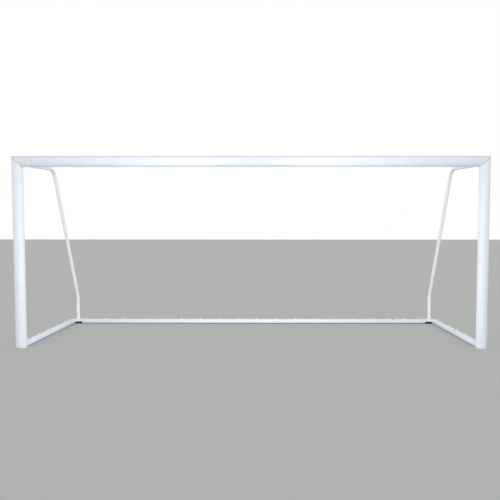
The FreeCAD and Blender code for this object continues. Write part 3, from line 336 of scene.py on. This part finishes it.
def sweep(outer, holes, stations, recess=None):
    """Closed solid through the stations: each is (place, inset), place puts (u, v) in space, and the
    inset draws in the outside but not the holes. A recess is (loop, depth along the last step), sunk
    into the last end."""
    shape = Shape()
    loops = [wind(outer, False)] + [wind(hole, True) for hole in holes]
    rows = []
    for place, inset in stations:
        row = []
        for loop in loops:
            row.append(len(shape.points))
            drawn_in = shrink(loop, inset) if inset and loop is loops[0] else loop
            shape.points += [place(u, v) for u, v in drawn_in]
        rows.append(row)
    for near_row, far_row in zip(rows, rows[1:]):
        for loop, near, far in zip(loops, near_row, far_row):
            count = len(loop)
            shape.faces += [(near + i, near + (i + 1) % count, far + (i + 1) % count, far + i)
                            for i in range(count)]
    for row, (place, inset), last in ((rows[0], stations[0], False), (rows[-1], stations[-1], True)):
        flat = [[Vector((u, v, 0)) for u, v in (shrink(loop, inset) if loop is loops[0] else loop)]
                for loop in loops]
        spots = [start + i for start, loop in zip(row, loops) for i in range(len(loop))]
        if last and recess:
            hollow, depth = wind(recess[0], True), recess[1]
            along = (stations[-1][0](0, 0) - stations[-2][0](0, 0)).normalized()
            top = len(shape.points)
            shape.points += [place(u, v) for u, v in hollow]
            floor = len(shape.points)
            shape.points += [place(u, v) - along * depth for u, v in hollow]
            count = len(hollow)
            shape.faces += [(top + i, top + (i + 1) % count, floor + (i + 1) % count, floor + i)
                            for i in range(count)]
            shape.faces.append(tuple(range(floor, floor + count)))
            flat.append([Vector((u, v, 0)) for u, v in hollow])
            spots += list(range(top, top + count))
        shape.faces += [tuple(spots[i] for i in face) for face in tessellate_polygon(flat)]
    return shape


def prism(outer, length, start=0, edge=0.0, far_edge=None, holes=(), recess=None, steps=3):
    """Solid of the section along local z, with rounded end edges."""
    stops = rounded(length, edge, edge if far_edge is None else far_edge, steps)
    stations = [(lambda u, v, d=d: Vector((u, v, start + d)), inset) for d, inset in stops]
    return sweep(outer, list(holes), stations, recess)


def lathe(profile, count=40):
    """Solid turned about local z from a closed loop of (radius, height)."""
    shape = Shape()
    size = len(profile)
    for i in range(count):
        angle = 2 * pi * i / count
        shape.points += [Vector((r * cos(angle), r * sin(angle), z)) for r, z in profile]
    for i in range(count):
        near, far = i * size, (i + 1) % count * size
        shape.faces += [(near + k, near + (k + 1) % size, far + (k + 1) % size, far + k)
                        for k in range(size)]
    return shape


def facing(out, up):
    """Matrix that turns local z to out and local y to up."""
    return Matrix((up.cross(out), up, out)).transposed().to_4x4()


def build(shape, name, node, stands=True):
    """Make the mesh object and give it the node's body and slot; it stands for the node, or only rides
    along with it as a surface detail."""
    mesh = bpy.data.meshes.new(name)
    work = bmesh.new()
    spots = [work.verts.new(point * MM) for point in shape.points]
    for face in shape.faces:
        work.faces.new([spots[i] for i in face])
    bmesh.ops.remove_doubles(work, verts=work.verts, dist=1e-6)
    on_axis = [edge for edge in work.edges if not edge.link_faces]   # left where a lathe's faces closed up
    bmesh.ops.delete(work, geom=on_axis, context="EDGES")
    bmesh.ops.recalc_face_normals(work, faces=work.faces)
    work.to_mesh(mesh)
    work.free()
    return adopt(bpy.data.objects.new(name, mesh), node, stands=stands)


def adopt(piece, node, sharp=CREASE, stands=True):
    """Give a mesh object the node's look, body and slot, and creases above the sharp angle in degrees."""
    if piece.name not in scene.collection.objects:
        scene.collection.objects.link(piece)
    piece.data.materials.clear()
    piece.data.materials.append(looks[slot_of[node]])
    piece.data.shade_smooth()
    piece.data.set_sharp_from_angle(angle=radians(sharp))
    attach(piece, body_of[node])
    if stands:
        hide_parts(node)
    return piece


def islands(node):
    """Box centre, box size and mean point of each separate solid of a CAD node, in millimetres."""
    work = bmesh.new()
    work.from_mesh(frame["nodes"][node].data)
    bmesh.ops.remove_doubles(work, verts=work.verts, dist=1e-5)
    left, found = set(work.verts), []
    while left:
        front = [left.pop()]
        solid = list(front)
        while front:
            for edge in front.pop().link_edges:
                for vert in edge.verts:
                    if vert in left:
                        left.remove(vert)
                        front.append(vert)
                        solid.append(vert)
        axes = list(zip(*(vert.co / MM for vert in solid)))
        low, high = Vector([min(axis) for axis in axes]), Vector([max(axis) for axis in axes])
        found.append(((low + high) / 2, high - low, Vector([sum(axis) / len(axis) for axis in axes])))
    work.free()
    return sorted(found, key=lambda solid: tuple(solid[0]))


def copies(shape, name, node, out, up, spots=None):
    """One object with the shape at each separate solid of the node, matched by their boxes."""
    whole = Shape()
    for centre, size, mean in spots or islands(node):
        turn = facing(*(axis(centre, size, mean) if callable(axis) else axis for axis in (out, up)))
        whole.add(shape, Matrix.Translation(centre - turn @ shape.middle()) @ turn)
    return build(whole, name, node)


def apply_all(piece):
    """Turn the piece's modifiers into plain mesh."""
    bpy.context.view_layer.objects.active = piece
    for modifier in list(piece.modifiers):
        bpy.ops.object.modifier_apply(modifier=modifier.name)


# ---------------------------------------------------------------- posts and crossbar

def oval_section():
    """Outside with its net groove, and hollow; u points out of the groove, v across it."""
    wide, deep = OVAL_WIDE / 2, OVAL_DEEP / 2
    land = deep - LAND_DROP
    lip, floor = land - GROOVE_WALL, land - GROOVE_WALL - GROOVE_DEEP
    start = asin(sqrt(1 - (land / deep) ** 2))
    count = 132
    angles = [start + (2 * pi - 2 * start) * i / count for i in range(count + 1)]
    crown = [(deep * cos(a), wide * sin(a)) for a in angles]
    outer = corners(*crown, (land, -MOUTH_HALF, 0.8), (lip, -MOUTH_HALF, 0.4), (lip, -GROOVE_HALF, 0.4),
                    (floor, -GROOVE_HALF, 0.6), (floor, GROOVE_HALF, 0.6), (lip, GROOVE_HALF, 0.4),
                    (lip, MOUTH_HALF, 0.4), (land, MOUTH_HALF, 0.8), steps=3)
    wide, deep = wide - OVAL_WALL, deep - OVAL_WALL
    half = GROOVE_HALF + GROOVE_WALL
    start = asin(half / wide)
    angles = [start + (2 * pi - 2 * start) * i / 64 for i in range(65)]
    back = floor - GROOVE_WALL
    inner = [(deep * cos(a), wide * sin(a)) for a in angles] + [(back, -half), (back, half)]
    return outer, inner


def bar_section():
    """Ground bar: rounded rectangle with its groove in the outer side."""
    wide, high = BAR_WIDE / 2, BAR_HIGH / 2
    lip, floor = wide - GROOVE_WALL, wide - GROOVE_WALL - GROOVE_DEEP
    outer = corners((wide, high, BAR_ROUND), (-wide, high, BAR_ROUND), (-wide, -high, BAR_ROUND),
                    (wide, -high, BAR_ROUND), (wide, -MOUTH_HALF, 0.8), (lip, -MOUTH_HALF, 0.4),
                    (lip, -GROOVE_HALF, 0.4), (floor, -GROOVE_HALF, 0.6), (floor, GROOVE_HALF, 0.6),
                    (lip, GROOVE_HALF, 0.4), (lip, MOUTH_HALF, 0.4), (wide, MOUTH_HALF, 0.8), steps=8)
    half = GROOVE_HALF + GROOVE_WALL
    wide, high, turn = wide - BAR_WALL, high - BAR_WALL, BAR_ROUND - BAR_WALL
    edge = wide - turn + sqrt(turn ** 2 - (half - high + turn) ** 2)
    back = floor - GROOVE_WALL
    bend_x, bend_y = wide - turn * 0.6, high - turn * 0.42   # on the way round the shortened corner
    inner = corners((back, half), (edge, half), (bend_x, bend_y), (wide - turn, high),
                    (-wide, high, turn), (-wide, -high, turn),
                    (wide - turn, -high), (bend_x, -bend_y), (edge, -half), (back, -half))
    return outer, inner


OVAL, OVAL_HOLLOW = oval_section()
BAR, BAR_HOLLOW = bar_section()
SEAM = 0.9                 # rounding of the ground bars' cut ends, which shows as a fine line
MITRE_SEAM = 1.4           # the same at the mitres and the posts' feet
CUT_END = [(MITRE_SEAM * (1 - cos(angle)), MITRE_SEAM * (1 - sin(angle)))
           for angle in (0, pi / 6, pi / 3, pi / 2)]         # distances and insets that round a cut end


def make_goal_mouth():
    """Crossbar and posts with their mitres, and the posts' end caps."""
    low, high = box("crossbar")
    middle = (low + high) / 2
    crown_y = low.y + OVAL_DEEP / 2
    half = OVAL_WIDE / 2

    def beam(side, end, d):
        return lambda u, v: Vector((end + side * (d + half - v), crown_y + u, middle.z + v))

    first = [(beam(1, low.x, d), inset) for d, inset in CUT_END]
    last = [(beam(-1, high.x, d), inset) for d, inset in CUT_END]
    build(sweep(OVAL, [OVAL_HOLLOW], first + last[::-1]), "crossbar_profile", "crossbar")

    for side, sign in SIDES:
        low, high = box(f"{side}_post")
        middle = (low + high) / 2

        def foot(d):
            return lambda u, v: Vector((middle.x + v, crown_y + u, low.z + d))

        def head(d):
            return lambda u, v: Vector((middle.x + v, crown_y + u, high.z - half + sign * v - d))

        stations = ([(foot(d), inset) for d, inset in CUT_END]
                    + [(head(d), inset) for d, inset in CUT_END][::-1])
        build(sweep(OVAL, [OVAL_HOLLOW], stations), f"{side}_post_profile", f"{side}_post")

        low, high = box(f"{side}_post_cap")
        back_edge = OVAL_DEEP / 2 - 20                       # in front of the net groove
        oval = [((OVAL_WIDE / 2 - 0.05) * cos(pi * i / 60), (OVAL_DEEP / 2 - 0.05) * sin(pi * i / 60))
                for i in range(120)]
        inside = [(u * 0.94, min(v * 0.93, back_edge)) for u, v in oval]
        visible = box(f"{side}_post")[0].z - low.z
        cap = prism(oval, visible, edge=2.8, far_edge=1.0, steps=4)
        cap.add(prism(inside, high.z - low.z - visible + 1, start=visible - 1, edge=0.6))
        whole = Shape().add(cap, Matrix.Translation(((low.x + high.x) / 2, (low.y + high.y) / 2, low.z)))
        build(whole, f"{side}_end_cap", f"{side}_post_cap")


# ---------------------------------------------------------------- ground frame

HOLE_RADIUS = 10.1         # hole in a bar for an anchor bush


def bore(piece, spots):
    """Cut the anchor holes that lie inside the piece right through it."""
    low, high = (Vector(corner) / MM for corner in (piece.bound_box[0], piece.bound_box[6]))
    tool = Shape()
    for centre, _, _ in spots:
        if low.x < centre.x < high.x and low.y < centre.y < high.y:
            tool.add(prism(ring(HOLE_RADIUS, 32), 90), Matrix.Translation((centre.x, centre.y, -10)))
    if not tool.points:
        return
    mesh = bpy.data.meshes.new("drill")
    mesh.from_pydata([point * MM for point in tool.points], [], tool.faces)
    drill = bpy.data.objects.new("drill", mesh)
    scene.collection.objects.link(drill)
    work = bmesh.new()
    work.from_mesh(mesh)
    bmesh.ops.recalc_face_normals(work, faces=work.faces)
    work.to_mesh(mesh)
    work.free()
    cut = piece.modifiers.new("anchor_holes", "BOOLEAN")
    cut.object, cut.operation, cut.solver = drill, "DIFFERENCE", "EXACT"
    apply_all(piece)
    bpy.data.objects.remove(drill)
    piece.data.set_sharp_from_angle(angle=radians(CREASE))


def make_ground_bars():
    """Side bars and rear bars with their anchor holes, and the bushes in the holes."""
    anchors = islands("anchor_bushes")
    for side, sign in SIDES:
        for node, along, out in ((f"{side}_side_bar", Y, X * sign), (f"{side}_rear_bar", X, Y)):
            low, high = box(node)
            middle = (low + high) / 2
            length = (high - low).dot(along)
            start = middle - along * (length / 2)
            stations = [((lambda u, v, d=d, s=start: s + along * d + out * u + Z * v), inset)
                        for d, inset in rounded(length, SEAM, SEAM)]
            bar = build(sweep(BAR, [BAR_HOLLOW], stations), f"{node}_profile", node)
            bore(bar, anchors)
    bore_radius, wall, rim, tall = 8, 10, 12.5, 1.5          # of an anchor bush
    loop = corners((bore_radius, -50), (wall, -50), (wall, 0), (rim, 0), (rim, tall, 0.7),
                   (bore_radius, tall, 0.5), steps=3)
    copies(lathe(loop, 36), "anchor_bush_set", "anchor_bushes", Z, Y, anchors)


def soften(node, name, voxel, passes):
    """Cast look: the CAD solid with every edge and inside corner rounded."""
    piece = bpy.data.objects.new(name, frame["nodes"][node].data.copy())
    scene.collection.objects.link(piece)
    work = bmesh.new()
    work.from_mesh(piece.data)
    bmesh.ops.remove_doubles(work, verts=work.verts, dist=1e-6)
    work.to_mesh(piece.data)
    work.free()
    remesh = piece.modifiers.new("skin", "REMESH")
    remesh.mode, remesh.voxel_size = "VOXEL", voxel * MM
    smooth = piece.modifiers.new("soft", "SMOOTH")
    smooth.factor, smooth.iterations = 0.5, passes
    flat = piece.modifiers.new("flat", "DECIMATE")
    flat.decimate_type, flat.angle_limit = "DISSOLVE", radians(1.2)
    apply_all(piece)
    adopt(piece, node, sharp=60)
    even = piece.modifiers.new("even", "WEIGHTED_NORMAL")
    even.keep_sharp = True
    return piece


def mirror_copy(piece, name, node):
    """The right-hand piece reflected to the left."""
    mesh = piece.data.copy()
    mesh.transform(Matrix.Diagonal((-1, 1, 1, 1)))
    mesh.flip_normals()
    twin = adopt(bpy.data.objects.new(name, mesh), node, sharp=60)
    twin.modifiers.new("even", "WEIGHTED_NORMAL").keep_sharp = True


def make_castings():
    """Castings, with a voxel size in millimetres and smoothing passes that suit each one's detail."""
    for part, voxel, passes in (("rear_corner", 1.6, 4), ("shoe", 1.3, 4), ("support_bracket", 0.8, 3),
                                ("support_tongue", 0.7, 3)):
        right = soften(f"right_{part}", f"right_{part}_casting", voxel, passes)
        mirror_copy(right, f"left_{part}_casting", f"left_{part}")


def make_pads():
    """Rubber pad with three moulded grooves round its side and a hole for each screw."""
    hole_radius, grooves, deep = 7, (6, 13, 20), 0.9
    for side, _ in SIDES:
        low, high = box(f"{side}_corner_pad")
        size = high - low
        section = slab(size.x, size.y, 6)
        middle = (low + high) / 2
        screws = [centre - middle for centre, _, _ in islands("pad_screws") if low.x < centre.x < high.x]
        holes = [ring(hole_radius, 28, spot.x, spot.y) for spot in screws]
        profile = [(0, 1.2), (0.4, 0.5), (1.2, 0)]
        for groove in grooves:
            profile += [(groove, 0), (groove + 0.5, deep), (groove + 1.5, deep), (groove + 2, 0)]
        profile += [(size.z - 0.8, 0), (size.z, 0.8)]
        stations = [((lambda u, v, d=d: Vector((u, v, d))), inset) for d, inset in profile]
        pad = Shape().add(sweep(section, holes, stations), Matrix.Translation((middle.x, middle.y, low.z)))
        build(pad, f"{side}_rubber_pad", f"{side}_corner_pad")


# ---------------------------------------------------------------- net supports

def weld_bead(x, y, z):
    """Rippled weld round the front end of a support's tube, about the point."""
    bead = Shape()
    turns, inner, ripples = 72, 14, 24
    for i in range(turns):
        angle = 2 * pi * i / turns
        swell = 1.15 + 0.22 * sin(ripples * angle)
        for k in range(inner):
            reach = TUBE_RADIUS - 0.35 + swell * cos(2 * pi * k / inner)
            bead.points.append(Vector((x + reach * cos(angle), y + swell * sin(2 * pi * k / inner),
                                       z + reach * sin(angle))))
    bead.faces = [(i * inner + k, i * inner + (k + 1) % inner,
                   (i + 1) % turns * inner + (k + 1) % inner, (i + 1) % turns * inner + k)
                  for i in range(turns) for k in range(inner)]
    return bead


def make_supports():
    """Bent tube, weld, foot plug and socket bush of each net support."""
    bore_radius, wall, rim, tall = 21.6, 24.4, 28, 2
    collar, fit = 5, 0.1                                     # foot plug's visible height, play
    for side, _ in SIDES:
        low, high = box(f"{side}_support_tongue")
        top = (low.z + high.z) / 2
        low, high = box(f"{side}_support_tube")
        x, leg = (low.x + high.x) / 2, high.y - TUBE_RADIUS
        line = corners((low.y, top), (low.y + SET_RUN, top, SET_BEND),
                       (low.y + UPPER_RUN, top + UPPER_RISE, UPPER_BEND),
                       (leg, low.z + LEG_RUN, LOWER_BEND), (leg, low.z), steps=20)
        stations = []
        for i, (y, z) in enumerate(line):
            before, after = line[max(i - 1, 0)], line[min(i + 1, len(line) - 1)]
            if i == 0 or i == len(line) - 1:
                tangent = Vector((0, after[0] - before[0], after[1] - before[1])).normalized()
            else:
                first = Vector((0, y - before[0], z - before[1])).normalized()
                second = Vector((0, after[0] - y, after[1] - z)).normalized()
                tangent = (first + second).normalized()
            across = X.cross(tangent)
            stations.append(((lambda u, v, c=Vector((x, y, z)), a=across: c + X * u + a * v), 0))
        tube = sweep(ring(TUBE_RADIUS, 56), [ring(TUBE_RADIUS - TUBE_WALL, 32)], stations)
        build(tube, f"{side}_support_bent_tube", f"{side}_support_tube")

        build(weld_bead(x, low.y, top), f"{side}_support_weld", f"{side}_support_tube", stands=False)

        low, high = box(f"{side}_leg_plug")
        plug = prism(ring(TUBE_RADIUS, 48), collar, edge=1.6, far_edge=0.4)
        inside = ring(TUBE_RADIUS - TUBE_WALL - fit, 40)
        plug.add(prism(inside, high.z - low.z - collar + 1, start=collar - 1, edge=0.8))
        whole = Shape().add(plug, Matrix.Translation(((low.x + high.x) / 2, (low.y + high.y) / 2, low.z)))
        build(whole, f"{side}_leg_end_plug", f"{side}_leg_plug")

        low, high = box(f"{side}_socket_bush")
        top = high.z - low.z
        loop = corners((bore_radius, 0), (wall, 0), (wall, top - tall), (rim, top - tall), (rim, top, 0.9),
                       (bore_radius, top, 0.7), steps=3)
        whole = Shape().add(lathe(loop, 56), Matrix.Translation(
            ((low.x + high.x) / 2, (low.y + high.y) / 2, low.z)))
        build(whole, f"{side}_leg_socket_bush", f"{side}_socket_bush")


# ---------------------------------------------------------------- hooks and fasteners

def net_hook():
    """Moulded hook: foot and neck in the groove, plate, and a J-shaped arm. Local z points out."""
    foot, foot_thick, neck, plate_wide, plate_high, plate_thick = 18, 4.5, 9, 16, 20, 2.5
    reach, rise, low, stem, wide, bend = 13, 37, -8, 4, 12, 7
    hook = prism(slab(foot, foot, 2), foot_thick, start=-7.8, edge=0.5)
    hook.add(prism(slab(neck, neck, 0.8), 7, start=-4.5))
    hook.add(prism(slab(plate_wide, plate_high, 2.2), plate_thick, start=0.3, edge=0.3, far_edge=0.8))
    loop = corners((1.5, low), (reach, low, bend), (reach, rise, 1.9), (reach - stem, rise, 1.9),
                   (reach - stem, low + stem, bend - stem), (1.5, low + stem), steps=5)
    arm = prism(loop, wide, start=-wide / 2, edge=0.9)
    return hook.add(arm, Matrix(((0, 0, 1, 0), (0, 1, 0, 0), (1, 0, 0, 0), (0, 0, 0, 1))))


def threaded(radius, low, high, pitch=1.25):
    """Closed lathe loop of a screw's shank with a cut thread, from its end up to its head."""
    deep, lead_in = 0.65, 0.9
    loop = [(0, low), (radius - lead_in, low)]
    z = low + 0.5
    while z + pitch < high:
        loop += [(radius - deep, z), (radius, z + pitch * 0.45), (radius, z + pitch * 0.55)]
        z += pitch
    return loop + [(radius - 0.6, high), (0, high)]


def hexagon(radius):
    """Hexagon of the given radius over its corners."""
    return [(radius * cos(pi / 3 * i), radius * sin(pi / 3 * i)) for i in range(6)]


def head_side(centre, size, mean):
    """Axis of a screw, towards its head, from its box and where its vertices crowd."""
    axis = max(range(3), key=lambda i: size[i])
    return Vector([0 if i != axis else (1 if mean[i] > centre[i] else -1) for i in range(3)])


def any_up(centre, size, mean):
    """A direction square to the screw's axis."""
    return Y if abs(head_side(centre, size, mean).z) > 0.5 else Z


def make_small_parts():
    """Net hooks, screws, rivets, nuts and bolts, each copied to the places of its node's solids."""
    hook = net_hook()
    for node, out in (("crossbar_hooks", Y), ("left_post_hooks", Y), ("right_post_hooks", Y),
                      ("left_rear_bar_hooks", Y), ("right_rear_bar_hooks", Y),
                      ("left_side_bar_hooks", -X), ("right_side_bar_hooks", X)):
        copies(hook, f"{node}_moulded", node, out, Z)

    shank, head, head_height, socket, socket_deep = 4, 7, 4, 2.9, 2.6
    screw = prism(ring(head, 36), head_height, edge=0.3, far_edge=2.9,
                  recess=(hexagon(socket), socket_deep), steps=5)
    screw.add(lathe(threaded(shank, -12, 0.3), 24))
    copies(screw, "button_screw_set", "bar_screws", head_side, any_up)

    dome, dimple, pin = 5, 1.4, 2.4
    rivet = prism(ring(dome, 30), 1.5, edge=0.15, far_edge=1.1, recess=(ring(dimple, 16), 0.9), steps=4)
    rivet.add(prism(ring(pin, 20), 10.2, start=-10))
    copies(rivet, "rivet_set", "sleeve_rivets", -Z, Y)

    flange, across = 8.5, 7.5
    nut = prism(ring(flange, 36), 1.5, edge=0.3, holes=[ring(shank + 0.05, 24)])
    nut.add(prism(hexagon(across), 5.3, start=1.2, far_edge=0.7, holes=[ring(shank + 0.1, 24)]))
    copies(nut, "flange_nut_set", "t_slot_nuts", Y, Z)
    tip = 13.5
    bolt = prism(slab(14, 18, 2), 5, start=-8.5, edge=0.6)
    bolt.add(lathe(threaded(shank, -3.8, tip)[:-2] + [(3.9, tip - 0.9), (3.1, tip), (0, tip)], 24))
    copies(bolt, "groove_bolt_set", "t_slot_bolts", Y, Z)


make_goal_mouth()
make_ground_bars()
make_castings()
make_pads()
make_supports()
make_small_parts()
for node, kept in frame["nodes"].items():
    if not kept.hide_render:
        kept.data.materials.clear()
        kept.data.materials.append(looks[slot_of[node]])


# ---------------------------------------------------------------- floor, light and camera

DOME = (1.0, 0.5)          # radiance of the white surroundings, at the sides and overhead
FRONT = (1.2, 1.0)         # how much brighter they are in front of the goal mouth


def make_stage():
    """Floor and surroundings; returns the collection that the lamps don't light."""
    mesh = bpy.data.meshes.new("floor")
    half = 70
    mesh.from_pydata([(-half, -half, 0), (half, -half, 0), (half, half, 0), (-half, half, 0)], [],
                     [(0, 1, 2, 3)])
    mesh.materials.append(ground("pale_floor"))
    floor = bpy.data.objects.new("floor", mesh)
    scene.collection.objects.link(floor)
    excluded = bpy.data.collections.new("kept_out_of_softboxes")
    excluded.objects.link(floor)
    excluded.collection_objects[0].light_linking.link_state = "EXCLUDE"
    world = bpy.data.worlds.new("studio")
    world.use_nodes = True
    tree = world.node_tree
    place = tree.nodes.new("ShaderNodeTexCoord").outputs["Generated"]
    split = tree.nodes.new("ShaderNodeSeparateXYZ")
    tree.links.new(place, split.inputs[0])

    def ramp(axis, low, high, to_low, to_high):
        item = tree.nodes.new("ShaderNodeMapRange")
        tree.links.new(split.outputs[axis], item.inputs[0])
        for index, number in zip(range(1, 5), (low, high, to_low, to_high)):
            item.inputs[index].default_value = number
        return item.outputs[0]

    dome = ramp("Z", 0.45, 0.85, *DOME)
    front = ramp("Y", -0.9, -0.1, *FRONT)
    total = tree.nodes.new("ShaderNodeMath")
    total.operation = "MULTIPLY"
    tree.links.new(dome, total.inputs[0])
    tree.links.new(front, total.inputs[1])
    tree.links.new(total.outputs[0], tree.nodes["Background"].inputs["Strength"])
    tree.nodes["Background"].inputs["Color"].default_value = (1, 1, 1, 1)
    scene.world = world
    return excluded


def softbox(name, spot, target, size, power):
    """Area lamp that leaves the floor out of its light, so that no pool shows there."""
    light = bpy.data.lights.new(name, "AREA")
    light.shape = "RECTANGLE"
    light.size, light.size_y = size
    light.energy = power
    lamp = bpy.data.objects.new(name, light)
    lamp.location = spot
    lamp.visible_camera = False
    lamp.rotation_euler = (Vector(target) - Vector(spot)).to_track_quat("-Z", "Y").to_euler()
    scene.collection.objects.link(lamp)
    lamp.light_linking.receiver_collection = unlit_by_lamps


LENS, SHIFT = 36.157, (-0.02265, 0.00951)
EYE = (0.1357, -6.2895, 1.2996)
YAW, PITCH, ROLL = 0.00357, -0.04739, -0.00024      # from straight ahead, in radians


def make_camera():
    """Eye-level view of the goal mouth, a little right of its middle."""
    data = bpy.data.cameras.new("camera")
    data.sensor_width = 36
    data.lens = LENS
    data.shift_x, data.shift_y = SHIFT
    data.clip_end = 200
    camera = bpy.data.objects.new("camera", data)
    turn = Matrix.Rotation(YAW, 3, "Z") @ Matrix.Rotation(PITCH, 3, "X") @ Matrix.Rotation(ROLL, 3, "Y")
    right, forward, up = turn.col
    camera.matrix_world = Matrix.Translation(EYE) @ Matrix((right, up, -forward)).transposed().to_4x4()
    scene.collection.objects.link(camera)
    scene.camera = camera


scene.view_settings.view_transform = "Standard"
unlit_by_lamps = make_stage()
softbox("left_box", (-0.6, -2.0, 1.1), (-2.5, -0.75, 1.3), (1.2, 1.9), 12)
softbox("right_box", (0.6, -2.0, 1.1), (2.5, -0.75, 1.3), (1.2, 1.9), 12)
softbox("front_box", (0, -3.4, 1.1), (0, 0, 1.0), (2.4, 1.8), 17)
softbox("low_box", (0, -2.8, 0.3), (0, -0.6, 1.9), (4.6, 0.5), 14)
softbox("rear_box", (0, -0.7, 1.0), (0, 0.75, 0.03), (2.2, 0.4), 7.5)
make_camera()
